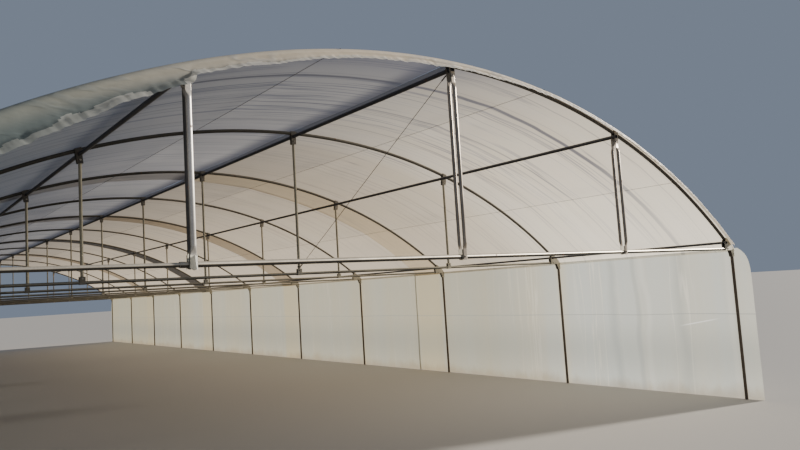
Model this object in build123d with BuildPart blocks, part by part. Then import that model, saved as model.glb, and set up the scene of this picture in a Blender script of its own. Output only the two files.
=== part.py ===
from build123d import *
import os
from math import asin, cos, degrees, radians, sin, sqrt, tan

os.makedirs("parts", exist_ok=True)

# Polytunnel greenhouse: eleven hooped pipe frames under a plastic film, open at both ends.
# Millimetres. +X runs to the right, +Y away from the near end, +Z up, ground at Z = 0.
# The origin is on the ground in the middle of the plan.

# Overall sizes
span = 10200.0  # centre to centre of the left and right posts
bay = 3000.0  # centre to centre of the frames
bay_count = 10
eave_height = 2050.0  # ground to the centre of the tie pipes
arch_rise = 1800.0  # centre of the tie to the centre of the hoop, at the ridge

# Pipes and wires, measured across
main_pipe = 42.0  # hoops, posts, purlins and end ties
light_pipe = 34.0  # ties and struts of the inner frames, eave rails
roof_wire = 3.7
brace_wire = 5.0
pipe_flats = 8  # purlins and rails are round, and the other pipes are drawn with this many flats
hole_flats = 6  # a hole that a round pipe runs through is drawn with this many
hoop_runs = 3  # straight runs that a hoop is drawn with from one purlin or wire to the next

# Plates and film
plate = 4.0  # cheeks of the brackets
strap = 3.5  # plate that joins two cheeks
film = 5.0
film_overhang = 70.0  # film past the centre of the end hoops
tail_drop = 100.0  # roof film that hangs over the top of the wall film
wall_flare = 280.0  # wall film past the end posts, at the ground
wall_top_gap = 8.0  # between the top of the wall film and the roof film

# Clearances
side_gap = 0.15  # each side of a pipe between two cheeks
seat_gap = 0.15  # between a pipe and what carries it
film_gap = 0.7  # between the roof wires and the film
hole_gap = 0.3  # round a pipe that runs through a hole
post_gap = 1.2  # between a post's head and the foot of its hoop

# Paired struts of the end frames
pair_pipe = 36.0
pair_reach = 36.0  # middle of the frame to a pipe's centre, between the flat ends
flat_width = 56.0  # pressed flat end
flat_thick = 6.0
flat_length = 100.0
flat_taper = 60.0  # from the round pipe to the flat end
flat_below_tie = 30.0  # flat end past the tie's centre

# Purlin brackets
bracket_top_half = 35.0
bracket_foot_half = 30.0
bracket_tab = 80.0  # cheek below the purlin
channel_margin = 20.0  # the cut between the cheeks runs this far past them
purlin_past = 10.0  # purlins past the cheeks of the end brackets
saddle_half = 30.0  # half the length of a tie saddle
saddle_rise = 45.0  # cheek above the tie pipe

# Eave brackets, measured from where post, tie and hoop meet
cheek_drop = 110.0  # down the post
cheek_edge = 2.0  # cheek past the outer side of the post
tie_start = 66.0  # end of the tie pipe
cheek_reach = 200.0  # in along the tie
cheek_along = 215.0  # up along the hoop
cheek_nose = 15.0
rail_along = 190.0  # eave rail, along the hoop
crook = 60.0  # where the cheek's lower edge turns from the post to the tie
bush_length = 70.0  # sleeve on the end of a light tie

# Slip joint of the end ties, left of the quarter struts
tie_joint = 90.0

# Apron of film that hangs in front of the end hoops, from the left eave to just past the ridge
apron_foot_gap = 40.0  # along the hoop, from its left foot
apron_past_ridge = 850.0
apron_foot_hang = 260.0
apron_middle_hang = 110.0
apron_ridge_hang = 40.0

# Ridge brace
brace_lift = 12.0  # lower ring above the saddle
ring_wall = 4.0
ring_height = 10.0

# Worked-out sizes
half_span = span / 2
quarter = span / 4
half_length = bay * bay_count / 2
frame_places = [i * bay - half_length for i in range(bay_count + 1)]
inner_places = frame_places[1:-1]
end_places = (frame_places[0], frame_places[-1])
main_r = main_pipe / 2
light_r = light_pipe / 2
corner_share = 1 / cos(radians(180 / pipe_flats))  # a drawn pipe's corner, as a share of its radius
wire_corner = roof_wire / 2 * corner_share
wire_places = (quarter / 2, half_span - quarter / 2)
arch_r = (half_span**2 + arch_rise**2) / (2 * arch_rise)
arch_centre = eave_height + arch_rise - arch_r
foot_angle = degrees(asin(half_span / arch_r))
wire_r = arch_r + main_r + seat_gap + wire_corner
film_inner = wire_r + wire_corner + film_gap
film_outer = film_inner + film
purlin_r = arch_r - main_pipe - hole_gap
cheek_inner = main_r + side_gap
cheek_outer = cheek_inner + plate
strap_inner = arch_r + main_r + side_gap
strap_outer = strap_inner + strap
wall_inner = half_span + main_r + cheek_edge + hole_gap
tail_inner = wall_inner + film + seat_gap
tail_outer = tail_inner + film
film_half_length = half_length + film_overhang


def on_arc(radius, angle):
    """X and Z of a point at a radius from the hoops' centre, at degrees from the ridge towards +X."""
    return radius * sin(radians(angle)), arch_centre + radius * cos(radians(angle))


def height_on_arc(radius, across):
    """Z of the point of an arc that lies at this X."""
    return arch_centre + sqrt(radius**2 - across**2)


def section(across, flats=pipe_flats, mode=Mode.ADD):
    """Outline of a pipe or a hole, with flats that face the sketch's axes."""
    RegularPolygon(across / 2, flats, major_radius=False, rotation=180 / flats, mode=mode)


def pipe(start, end, across, round_pipe=False):
    """Adds a straight pipe to the part that is being made."""
    run = Vector(*end) - Vector(*start)
    side = (1, 0, 0) if run.Y or run.Z else (0, 1, 0)
    with BuildSketch(Plane(origin=start, x_dir=side, z_dir=run)) as outline:
        if round_pipe:
            Circle(across / 2)
        else:
            section(across)
    extrude(outline.sketch, amount=run.length)


def hoop_angles():
    """Degrees from the ridge of a hoop's corners, from the left foot to the right one."""
    inner_wire, outer_wire = [degrees(asin(x / wire_r)) for x in wire_places]
    held = (0, inner_wire, degrees(asin(quarter / purlin_r)), outer_wire, foot_angle)
    angles = [held[0]]
    for lower, upper in zip(held, held[1:]):
        angles += [lower + (upper - lower) * (i + 1) / hoop_runs for i in range(hoop_runs)]
    return [-angle for angle in reversed(angles[1:])] + angles


def hoop(place):
    """Adds a hoop, bent to one radius from eave to eave."""
    rings = []
    for angle in hoop_angles():
        x, z = on_arc(arch_r, angle)
        lean = (cos(radians(angle)), 0, -sin(radians(angle)))
        with BuildSketch(Plane(origin=(x, place, z), x_dir=(0, 1, 0), z_dir=lean)) as ring:
            section(main_pipe)
        rings.append(ring.sketch)
    loft(rings, ruled=True)


def purlin_x(side):
    """X of the ridge purlin (0) or of a quarter purlin (-1 or 1)."""
    return side * quarter


def purlin_z(side):
    return height_on_arc(purlin_r, purlin_x(side))


def save(piece, name):
    piece.part.label = name
    export_step(piece.part, f"parts/{name}.step")


# Hoops
with BuildPart() as near_arch:
    hoop(end_places[0])

with BuildPart() as far_arch:
    hoop(end_places[1])

with BuildPart() as inner_arches:
    for place in inner_places:
        hoop(place)

# Ties: the end ones are two pipes, the thinner slipped into the thicker
tie_end = half_span - tie_start


def end_tie(place):
    joint = -quarter - tie_joint
    pipe((tie_end, place, eave_height), (joint, place, eave_height), main_pipe)
    pipe((joint, place, eave_height), (-tie_end, place, eave_height), light_pipe)
    bush = (bush_length - tie_end, place, eave_height)
    pipe(bush, (-tie_end, place, eave_height), main_pipe)


with BuildPart() as near_chord:
    end_tie(end_places[0])

with BuildPart() as far_chord:
    end_tie(end_places[1])

with BuildPart() as inner_chords:
    for place in inner_places:
        pipe((-tie_end, place, eave_height), (tie_end, place, eave_height), light_pipe)
        for side in (-1, 1):
            outer = (side * tie_end, place, eave_height)
            inner = (side * (tie_end - bush_length), place, eave_height)
            pipe(inner, outer, main_pipe)

# Posts: each hoop's foot stands on a post's head
foot_corner = main_r * cos(radians(foot_angle))
post_top = eave_height - foot_corner - post_gap


def posts(side):
    for place in frame_places:
        pipe((side * half_span, place, 0), (side * half_span, place, post_top), main_pipe)


with BuildPart() as left_posts:
    posts(-1)

with BuildPart() as right_posts:
    posts(1)


# Struts of the end frames: pairs of pipes, one each side of the tie, with pressed flat ends
def paired_strut(side, facing):
    """One pipe of a pair, as what its four pairs of opposite flats have in common."""
    bottom = eave_height - flat_below_tie
    top = purlin_z(side) - main_r - hole_gap
    low_bend, high_bend = bottom + flat_length, top - flat_length
    flat_y = facing * (cheek_outer + side_gap + flat_thick / 2)
    pipe_y = facing * pair_reach
    stations = (
        (bottom, flat_y, flat_width, flat_thick),
        (low_bend, flat_y, flat_width, flat_thick),
        (low_bend + flat_taper, pipe_y, pair_pipe, pair_pipe),
        (high_bend - flat_taper, pipe_y, pair_pipe, pair_pipe),
        (high_bend, flat_y, flat_width, flat_thick),
        (top, flat_y, flat_width, flat_thick),
    )
    with BuildPart() as strut:
        for turn in (0, 90, 45, 135):
            way = (cos(radians(turn)), sin(radians(turn)), 0)
            outline = []
            for edge in (-1, 1):
                points = []
                for height, y, wide, thick in stations:
                    across = thick if turn == 90 else wide
                    points.append((y * way[1] + edge * across / 2, height))
                outline += points if edge < 0 else reversed(points)
            flat_plane = Plane(origin=(purlin_x(side), 0, 0), x_dir=way, z_dir=(way[1], -way[0], 0))
            with BuildSketch(flat_plane) as flats:
                Polygon(*outline, align=None)
            keep = Mode.INTERSECT if turn else Mode.ADD
            extrude(flats.sketch, amount=pair_reach + flat_width, both=True, mode=keep)
    return strut


def strut_pair(side):
    inner, outer = paired_strut(side, 1), paired_strut(side, -1)
    with BuildPart() as pair:
        add(inner.part)
        add(outer.part)
    return pair


king_pair = strut_pair(0)
left_pair = strut_pair(-1)
right_pair = strut_pair(1)

with BuildPart() as near_king_post:
    with Locations((0, end_places[0], 0)):
        add(king_pair.part)

with BuildPart() as near_left_quarter_post:
    with Locations((0, end_places[0], 0)):
        add(left_pair.part)

with BuildPart() as near_right_quarter_post:
    with Locations((0, end_places[0], 0)):
        add(right_pair.part)

with BuildPart() as far_king_post:
    with Locations((0, end_places[1], 0)):
        add(king_pair.part)

with BuildPart() as far_left_quarter_post:
    with Locations((0, end_places[1], 0)):
        add(left_pair.part)

with BuildPart() as far_right_quarter_post:
    with Locations((0, end_places[1], 0)):
        add(right_pair.part)


# Struts of the inner frames: single pipes from the tie to the purlin
def single_struts(side):
    bottom = eave_height + light_r + seat_gap
    top = purlin_z(side) - main_r - seat_gap
    for place in inner_places:
        pipe((purlin_x(side), place, bottom), (purlin_x(side), place, top), light_pipe)


with BuildPart() as king_posts:
    single_struts(0)

with BuildPart() as left_quarter_posts:
    single_struts(-1)

with BuildPart() as right_quarter_posts:
    single_struts(1)

# Purlins, under the hoops
purlin_half_length = half_length + cheek_outer + purlin_past


def purlin(side):
    x, z = purlin_x(side), purlin_z(side)
    pipe((x, -purlin_half_length, z), (x, purlin_half_length, z), main_pipe, round_pipe=True)


with BuildPart() as ridge_purlin:
    purlin(0)

with BuildPart() as left_quarter_purlin:
    purlin(-1)

with BuildPart() as right_quarter_purlin:
    purlin(1)

# Eave rails, under the hoops just above their feet
rail_angle = foot_angle - degrees(rail_along / arch_r)
last_run = hoop_angles()[-1] - hoop_angles()[-2]
hoop_sag = arch_r * (1 - cos(radians(last_run / 2)))  # of the hoop's last run, below the true curve
rail_r = arch_r - hoop_sag - main_r - seat_gap - light_r
rail_x, rail_z = on_arc(rail_r, rail_angle)


def eave_rail(side):
    start = (side * rail_x, -purlin_half_length, rail_z)
    pipe(start, (side * rail_x, purlin_half_length, rail_z), light_pipe, round_pipe=True)


with BuildPart() as left_eave_rail:
    eave_rail(-1)

with BuildPart() as right_eave_rail:
    eave_rail(1)


# Wires that carry the film between purlins, on top of the hoops
def roof_wires(side):
    for across in wire_places:
        z = height_on_arc(wire_r, across)
        start = (side * across, -film_half_length, z)
        pipe(start, (side * across, film_half_length, z), roof_wire)


with BuildPart() as left_roof_wires:
    roof_wires(-1)

with BuildPart() as right_roof_wires:
    roof_wires(1)


# Purlin brackets: an inverted channel over the hoop, with the purlin through its cheeks
def cheek_corners(side, drop, widen):
    """Cheek outline, its top taken down by drop and its sides moved out by widen."""
    x, z = purlin_x(side), purlin_z(side)
    angle = degrees(asin(x / purlin_r))
    top_x, top_z = on_arc(strap_outer - drop, angle)
    half = bracket_top_half + widen
    tilt_x, tilt_z = half * cos(radians(angle)), -half * sin(radians(angle))
    foot_z = z - main_r - bracket_tab - widen
    foot_half = bracket_foot_half + widen
    return [
        (top_x - tilt_x, top_z - tilt_z),
        (x - foot_half, foot_z),
        (x + foot_half, foot_z),
        (top_x + tilt_x, top_z + tilt_z),
    ]


def purlin_bracket(side):
    with BuildSketch(Plane.XZ) as outline:
        Polygon(*cheek_corners(side, 0, 0), align=None)
    extrude(outline.sketch, amount=cheek_outer, both=True)
    with BuildSketch(Plane.XZ) as channel:
        Polygon(*cheek_corners(side, strap, channel_margin), align=None)
    extrude(channel.sketch, amount=cheek_inner, both=True, mode=Mode.SUBTRACT)
    with BuildSketch(Plane.XZ) as hole:
        with Locations((purlin_x(side), purlin_z(side))):
            section(main_pipe + 2 * hole_gap, hole_flats)
    extrude(hole.sketch, amount=2 * cheek_outer, both=True, mode=Mode.SUBTRACT)


with BuildPart() as ridge_bracket:
    purlin_bracket(0)

with BuildPart() as left_bracket:
    purlin_bracket(-1)

with BuildPart() as right_bracket:
    purlin_bracket(1)

with BuildPart() as ridge_brackets:
    with Locations(*[(0, place, 0) for place in frame_places]):
        add(ridge_bracket.part)

with BuildPart() as left_quarter_brackets:
    with Locations(*[(0, place, 0) for place in frame_places]):
        add(left_bracket.part)

with BuildPart() as right_quarter_brackets:
    with Locations(*[(0, place, 0) for place in frame_places]):
        add(right_bracket.part)


# Tie saddles: a channel under the tie that holds the foot of the strut
def tie_saddle(side, tie):
    inner = tie / 2 + side_gap
    outer = inner + plate
    low = eave_height - inner - strap
    high = eave_height + tie / 2 + saddle_rise
    with BuildSketch(Plane.YZ.offset(purlin_x(side) - saddle_half)) as outline:
        with BuildLine():
            Polyline(
                (-outer, low),
                (outer, low),
                (outer, high),
                (inner, high),
                (inner, low + strap),
                (-inner, low + strap),
                (-inner, high),
                (-outer, high),
                close=True,
            )
        make_face()
    extrude(outline.sketch, amount=2 * saddle_half)


def tie_saddles(side):
    with BuildPart() as end_saddle:
        tie_saddle(side, main_pipe)
    with BuildPart() as inner_saddle:
        tie_saddle(side, light_pipe)
    with BuildPart() as saddles:
        with Locations(*[(0, place, 0) for place in end_places]):
            add(end_saddle.part)
        with Locations(*[(0, place, 0) for place in inner_places]):
            add(inner_saddle.part)
    return saddles


ridge_saddles = tie_saddles(0)
left_saddles = tie_saddles(-1)
right_saddles = tie_saddles(1)

# Eave brackets: two cheeks that hold post, tie and hoop, with the rail through them
cheek_low = eave_height - cheek_drop
cheek_outer_side = half_span + main_r + cheek_edge
up_angle = foot_angle - degrees(cheek_along / arch_r)
nose_angle = foot_angle - degrees(cheek_nose / arch_r)

with BuildPart() as eave_bracket:
    with BuildSketch(Plane.XZ) as cheek_outline:
        with BuildLine():
            Polyline(
                (cheek_outer_side, cheek_low),
                (cheek_outer_side, eave_height),
                on_arc(strap_outer, nose_angle),
                on_arc(strap_outer, up_angle),
                on_arc(rail_r - light_r - cheek_nose, up_angle),
                (half_span - cheek_reach, eave_height - main_r),
                (half_span - crook, eave_height - main_r),
                (half_span - main_r - cheek_edge, cheek_low),
                close=True,
            )
        make_face()
    extrude(cheek_outline.sketch, amount=cheek_outer, both=True)
    extrude(cheek_outline.sketch, amount=cheek_inner, both=True, mode=Mode.SUBTRACT)
    with BuildSketch(Plane.XZ) as rail_hole:
        with Locations((rail_x, rail_z)):
            section(light_pipe + 2 * hole_gap, hole_flats)
    extrude(rail_hole.sketch, amount=2 * cheek_outer, both=True, mode=Mode.SUBTRACT)
    strap_x, strap_z = on_arc((strap_inner + strap_outer) / 2, nose_angle)
    lean = (-cos(radians(nose_angle)), 0, sin(radians(nose_angle)))
    with BuildSketch(Plane(origin=(strap_x, 0, strap_z), x_dir=(0, 1, 0), z_dir=lean)) as strap_section:
        Rectangle(2 * cheek_outer, strap)
    hoop_centre = Axis((0, 0, arch_centre), (0, -1, 0))
    revolve(strap_section.sketch, axis=hoop_centre, revolution_arc=nose_angle - up_angle)

with BuildPart() as right_eave_brackets:
    with Locations(*[(0, place, 0) for place in frame_places]):
        add(eave_bracket.part)

with BuildPart() as left_eave_brackets:
    mirror(right_eave_brackets.part, about=Plane.YZ)


# Ridge braces: a wire from the ridge purlin at each end frame down to the next frame's king strut,
# with a ring round each
def brace_ring(hole):
    section(hole + 2 * ring_wall)
    section(hole, mode=Mode.SUBTRACT)


def ridge_brace(place, inward):
    upper_y = place + inward * (cheek_outer + side_gap + flat_thick + hole_gap)
    lower_y = place + inward * bay
    upper_hole = main_pipe + 2 * hole_gap
    lower_hole = light_pipe + 2 * hole_gap
    lower_z = eave_height + light_r + saddle_rise + brace_lift
    with BuildSketch(Plane.XZ.offset(-upper_y)) as upper_ring:
        with Locations((0, purlin_z(0))):
            brace_ring(upper_hole)
    extrude(upper_ring.sketch, amount=-inward * ring_height)
    with BuildSketch(Plane.XY.offset(lower_z)) as lower_ring:
        with Locations((0, lower_y)):
            brace_ring(lower_hole)
    extrude(lower_ring.sketch, amount=ring_height)
    start = (0, upper_y + inward * ring_height / 2, purlin_z(0) - (upper_hole + ring_wall) / 2)
    end = (0, lower_y - inward * (lower_hole + ring_wall) / 2, lower_z + ring_height / 2)
    pipe(start, end, brace_wire)


with BuildPart() as ridge_braces:
    ridge_brace(end_places[0], 1)
    ridge_brace(end_places[1], -1)

# Roof film: one sheet on each slope, from the ridge over the eave and down past the wall film's top
with BuildPart() as right_roof_film:
    with BuildSketch(Plane.XZ) as roof_section:
        outer_end = (tail_outer, height_on_arc(film_outer, tail_outer))
        inner_end = (tail_inner, height_on_arc(film_inner, tail_inner))
        tail_low = eave_height - tail_drop
        half_way = foot_angle / 2
        with BuildLine():
            ThreePointArc((0, arch_centre + film_outer), on_arc(film_outer, half_way), outer_end)
            Polyline(outer_end, (tail_outer, tail_low), (tail_inner, tail_low), inner_end)
            ThreePointArc(inner_end, on_arc(film_inner, half_way), (0, arch_centre + film_inner))
            Line((0, arch_centre + film_inner), (0, arch_centre + film_outer))
        make_face()
    extrude(amount=film_half_length, both=True)

with BuildPart() as left_roof_film:
    mirror(right_roof_film.part, about=Plane.YZ)

# Aprons: the loose edge of the film in front of the end hoops, longest at the left eave
apron_foot = degrees(apron_foot_gap / arch_r) - foot_angle
apron_top = degrees(asin(apron_past_ridge / film_outer))
apron_edge = (
    (apron_foot, apron_foot_hang),
    ((apron_foot + apron_top) / 2, apron_middle_hang),
    (apron_top, apron_ridge_hang),
)

with BuildPart() as near_film_apron:
    with BuildSketch(Plane.XZ.offset(film_half_length)) as apron_section:
        upper = [on_arc(film_outer, angle) for angle, hang in apron_edge]
        lower = [on_arc(film_outer - hang, angle) for angle, hang in apron_edge]
        with BuildLine():
            ThreePointArc(*upper)
            Line(upper[-1], lower[-1])
            ThreePointArc(*reversed(lower))
            Line(lower[0], upper[0])
        make_face()
    extrude(amount=film)

with BuildPart() as far_film_apron:
    mirror(near_film_apron.part, about=Plane.XZ)

# Wall film: outside the posts, with a loose flap past the end posts that widens to the ground
with BuildPart() as right_wall_film:
    with BuildSketch(Plane.YZ.offset(wall_inner)) as wall_section:
        wall_top = height_on_arc(film_inner, wall_inner) - wall_top_gap
        with BuildLine():
            Polyline(
                (-half_length - film_overhang, wall_top),
                (-half_length - wall_flare, 0),
                (half_length + wall_flare, 0),
                (half_length + film_overhang, wall_top),
                close=True,
            )
        make_face()
    extrude(amount=film)

with BuildPart() as left_wall_film:
    mirror(right_wall_film.part, about=Plane.YZ)

save(near_arch, "near_arch")
save(far_arch, "far_arch")
save(inner_arches, "inner_arches")
save(near_chord, "near_chord")
save(far_chord, "far_chord")
save(inner_chords, "inner_chords")
save(left_posts, "left_posts")
save(right_posts, "right_posts")
save(near_king_post, "near_king_post")
save(near_left_quarter_post, "near_left_quarter_post")
save(near_right_quarter_post, "near_right_quarter_post")
save(far_king_post, "far_king_post")
save(far_left_quarter_post, "far_left_quarter_post")
save(far_right_quarter_post, "far_right_quarter_post")
save(king_posts, "king_posts")
save(left_quarter_posts, "left_quarter_posts")
save(right_quarter_posts, "right_quarter_posts")
save(ridge_purlin, "ridge_purlin")
save(left_quarter_purlin, "left_quarter_purlin")
save(right_quarter_purlin, "right_quarter_purlin")
save(left_eave_rail, "left_eave_rail")
save(right_eave_rail, "right_eave_rail")
save(left_roof_wires, "left_roof_wires")
save(right_roof_wires, "right_roof_wires")
save(ridge_braces, "ridge_braces")
save(ridge_brackets, "ridge_brackets")
save(left_quarter_brackets, "left_quarter_brackets")
save(right_quarter_brackets, "right_quarter_brackets")
save(ridge_saddles, "ridge_saddles")
save(left_saddles, "left_saddles")
save(right_saddles, "right_saddles")
save(left_eave_brackets, "left_eave_brackets")
save(right_eave_brackets, "right_eave_brackets")
save(left_roof_film, "left_roof_film")
save(right_roof_film, "right_roof_film")
save(near_film_apron, "near_film_apron")
save(far_film_apron, "far_film_apron")
save(left_wall_film, "left_wall_film")
save(right_wall_film, "right_wall_film")
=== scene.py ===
import bpy
from math import asin, cos, degrees, exp, pi, radians, sin, sqrt
from mathutils import Matrix, Vector, noise


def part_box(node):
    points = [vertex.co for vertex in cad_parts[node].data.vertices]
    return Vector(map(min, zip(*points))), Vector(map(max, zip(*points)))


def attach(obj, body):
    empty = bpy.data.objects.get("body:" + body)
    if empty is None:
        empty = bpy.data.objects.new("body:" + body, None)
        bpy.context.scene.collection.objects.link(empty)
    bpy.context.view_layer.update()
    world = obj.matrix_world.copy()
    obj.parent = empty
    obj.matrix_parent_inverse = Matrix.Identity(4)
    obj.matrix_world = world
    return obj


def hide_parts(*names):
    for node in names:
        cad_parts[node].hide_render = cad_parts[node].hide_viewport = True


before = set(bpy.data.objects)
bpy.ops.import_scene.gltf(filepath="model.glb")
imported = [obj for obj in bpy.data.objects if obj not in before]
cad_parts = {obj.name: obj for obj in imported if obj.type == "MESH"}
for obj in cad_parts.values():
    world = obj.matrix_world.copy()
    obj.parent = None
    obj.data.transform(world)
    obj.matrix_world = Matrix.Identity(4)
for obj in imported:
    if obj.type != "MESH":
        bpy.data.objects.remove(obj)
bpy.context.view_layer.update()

# the tunnel's own sizes, in metres
tunnel = {
    "halfSpan": 5.1,
    "quarter": 2.55,
    "bay": 3.0,
    "bays": 10,
    "eave": 2.05,
    "rise": 1.8,
    "mainPipe": 0.021,  # radius
    "lightPipe": 0.017,
    "pipeWall": 0.0022,
    "boreShown": 0.06,  # how deep an open pipe end goes
    "plate": 0.004,
    "gap": 0.00015,  # between a pipe and what holds it
    "filmOver": 0.0072,  # how high the roof film lies over the hoops
}
halfSpan, quarter, bay, eave = tunnel["halfSpan"], tunnel["quarter"], tunnel["bay"], tunnel["eave"]
mainPipe, lightPipe, gap = tunnel["mainPipe"], tunnel["lightPipe"], tunnel["gap"]
halfLength = bay * tunnel["bays"] / 2
hoopRadius = (halfSpan ** 2 + tunnel["rise"] ** 2) / (2 * tunnel["rise"])
hoopCentre = eave + tunnel["rise"] - hoopRadius
footAngle = asin(halfSpan / hoopRadius)
framePlaces = [i * bay - halfLength for i in range(tunnel["bays"] + 1)]
innerPlaces = framePlaces[1:-1]
nearEnd, farEnd = framePlaces[0], framePlaces[-1]
purlinRadius = hoopRadius - 2 * (mainPipe + gap)
cheekFace = mainPipe + gap + tunnel["plate"]  # outer face of a bracket's cheek, from the frame's middle
filmRadius = hoopRadius + mainPipe + tunnel["filmOver"]


def onArc(radius, angle, y=0.0):
    return Vector((radius * sin(angle), y, hoopCentre + radius * cos(angle)))


def purlinHeight(side):
    return hoopCentre + sqrt(purlinRadius ** 2 - (side * quarter) ** 2)


# camera: standing left of the middle, in front of the near end
camera = {
    "place": (-4.311, -19.520, 1.819),
    "yaw": 38.49,  # degrees right of +Y
    "pitch": 5.12,
    "roll": -3.53,
    "lens": 30.49,
    "sensor": 36,
    "clipEnd": 500,
}


def cameraMatrix(place, yaw, pitch, roll):
    yaw, pitch, roll = radians(yaw), radians(pitch), radians(roll)
    ahead = Vector((sin(yaw) * cos(pitch), cos(yaw) * cos(pitch), sin(pitch)))
    level = Vector((cos(yaw), -sin(yaw), 0))
    upright = level.cross(ahead)
    right = level * cos(roll) + upright * sin(roll)
    up = upright * cos(roll) - level * sin(roll)
    turn = Matrix((right, up, -ahead)).transposed().to_4x4()
    return Matrix.Translation(place) @ turn


cameraData = bpy.data.cameras.new("camera")
cameraData.lens = camera["lens"]
cameraData.sensor_width = camera["sensor"]
cameraData.clip_end = camera["clipEnd"]
cameraObject = bpy.data.objects.new("camera", cameraData)
cameraObject.matrix_world = cameraMatrix(camera["place"], camera["yaw"], camera["pitch"], camera["roll"])
bpy.context.scene.collection.objects.link(cameraObject)
bpy.context.scene.camera = cameraObject

# studio: a pale floor, a pale surround and one broad key from the right
studio = {
    "floorRadius": 160,
    "floorSides": 64,
    "floorDrop": 0.002,  # under the ground line
    "floorColour": (0.44, 0.42, 0.39, 1),
    "floorRoughness": 0.85,
    "surroundColour": (0.50, 0.60, 0.78, 1),
    "surroundStrength": 0.36,
    "keyColour": (1.0, 0.93, 0.83),
    "keyStrength": 7.5,
    "keySpread": 5,  # degrees
    "keyFrom": (0.91, -0.30, 0.30),
}


def newMaterial(name):
    material = bpy.data.materials.new(name)
    material.use_nodes = True
    return material, material.node_tree


def floorCorner(i):
    turn = 2 * pi * i / studio["floorSides"]
    return studio["floorRadius"] * cos(turn), studio["floorRadius"] * sin(turn), -studio["floorDrop"]


floorMesh = bpy.data.meshes.new("floor")
floorRim = range(studio["floorSides"])
floorMesh.from_pydata([floorCorner(i) for i in floorRim], [], [list(floorRim)])
floor = bpy.data.objects.new("floor", floorMesh)
bpy.context.scene.collection.objects.link(floor)
floorPaint, tree = newMaterial("floorPaint")
tree.nodes["Principled BSDF"].inputs["Base Color"].default_value = studio["floorColour"]
tree.nodes["Principled BSDF"].inputs["Roughness"].default_value = studio["floorRoughness"]
floorMesh.materials.append(floorPaint)

world = bpy.data.worlds.new("studio")
world.use_nodes = True
world.node_tree.nodes["Background"].inputs["Color"].default_value = studio["surroundColour"]
world.node_tree.nodes["Background"].inputs["Strength"].default_value = studio["surroundStrength"]
bpy.context.scene.world = world

keyData = bpy.data.lights.new("key", "SUN")
keyData.energy = studio["keyStrength"]
keyData.color = studio["keyColour"]
keyData.angle = radians(studio["keySpread"])
key = bpy.data.objects.new("key", keyData)
key.rotation_euler = Vector(studio["keyFrom"]).to_track_quat("Z", "Y").to_euler()
bpy.context.scene.collection.objects.link(key)
print("camera, floor and lights are set")


# node tools: an input takes a plain value or the output of another node
def feed(tree, socket, value):
    if isinstance(value, (float, int, tuple)):
        socket.default_value = value
    else:
        tree.links.new(value, socket)


def addNode(tree, kind, inputs=None, **settings):
    node = tree.nodes.new(kind)
    for name, value in settings.items():
        setattr(node, name, value)
    for name, value in (inputs or {}).items():
        feed(tree, node.inputs[name], value)
    return node


def newGroup(name, inputs, outputs):
    tree = bpy.data.node_groups.new(name, "ShaderNodeTree")
    for label, kind, value in inputs:
        socket = tree.interface.new_socket(label, in_out="INPUT", socket_type="NodeSocket" + kind)
        socket.default_value = value
    for label, kind in outputs:
        tree.interface.new_socket(label, in_out="OUTPUT", socket_type="NodeSocket" + kind)
    return tree, addNode(tree, "NodeGroupInput").outputs, addNode(tree, "NodeGroupOutput").inputs


def objectPlace(tree):
    return addNode(tree, "ShaderNodeTexCoord").outputs["Object"]


def stretched(tree, stretch, turn=(0, 0, 0)):
    inputs = {"Vector": objectPlace(tree), "Scale": stretch, "Rotation": turn}
    return addNode(tree, "ShaderNodeMapping", inputs).outputs["Vector"]


def partOf(tree, vector, axis):
    return addNode(tree, "ShaderNodeSeparateXYZ", {"Vector": vector}).outputs[axis]


def noiseAt(tree, place, inputs):
    return addNode(tree, "ShaderNodeTexNoise", {"Vector": place, **inputs}).outputs["Fac"]


def ramp(tree, source, low, high, toLow=0.0, toHigh=1.0):
    inputs = {"Value": source, "From Min": low, "From Max": high, "To Min": toLow, "To Max": toHigh}
    return addNode(tree, "ShaderNodeMapRange", inputs, interpolation_type="SMOOTHSTEP").outputs["Result"]


def mixColour(tree, share, first, second, blend="MIX"):
    node = addNode(tree, "ShaderNodeMix", data_type="RGBA", blend_type=blend)
    for name, value in (("Factor_Float", share), ("A_Color", first), ("B_Color", second)):
        feed(tree, next(s for s in node.inputs if s.identifier == name), value)
    return next(s for s in node.outputs if s.identifier == "Result_Color")


def calculate(tree, operation, *values):
    return addNode(tree, "ShaderNodeMath", dict(enumerate(values)), operation=operation).outputs["Value"]


def product(tree, first, *others):
    for other in others:
        first = calculate(tree, "MULTIPLY", first, other)
    return first


# weathered zinc: a faint crystal pattern, dull patches and rust that starts as specks, with painted shade
# underneath and on the left half
weather = {
    "crystalScale": 70.0,
    "crystalReach": (0.0, 0.8),
    "grain": (1.05, 0.93),  # tone in the middle of a crystal and at its rim
    "patches": {"Scale": 2.2, "Detail": 6.0, "Roughness": 0.6},
    "patchReach": (0.3, 0.7),
    "patchTone": (0.35, 0.72),  # how much patches lighten the zinc, and its darkest tone
    "specks": {"Scale": 34.0, "Detail": 8.0, "Roughness": 0.65},
    "runs": {"Scale": 5.0, "Detail": 4.0},
    "runStretch": (3, 3, 0.7),
    "undersideShade": (0.12, -0.28),  # the normal's upward part where the painted shade underneath starts and is full
    "leftHalfShade": (0.6, -1.2),  # place across the tunnel where the left half's painted shade starts and is full
    "rustStart": (-0.22, 0.44),  # the threshold's change with the rust amount, and its value for none
    "rustRim": (-0.015, 0.03),
    "patchRoughness": 0.3,
    "rustRoughness": 0.9,
    "speckHeight": 0.4,
    "reliefDepth": 0.001,
}


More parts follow.
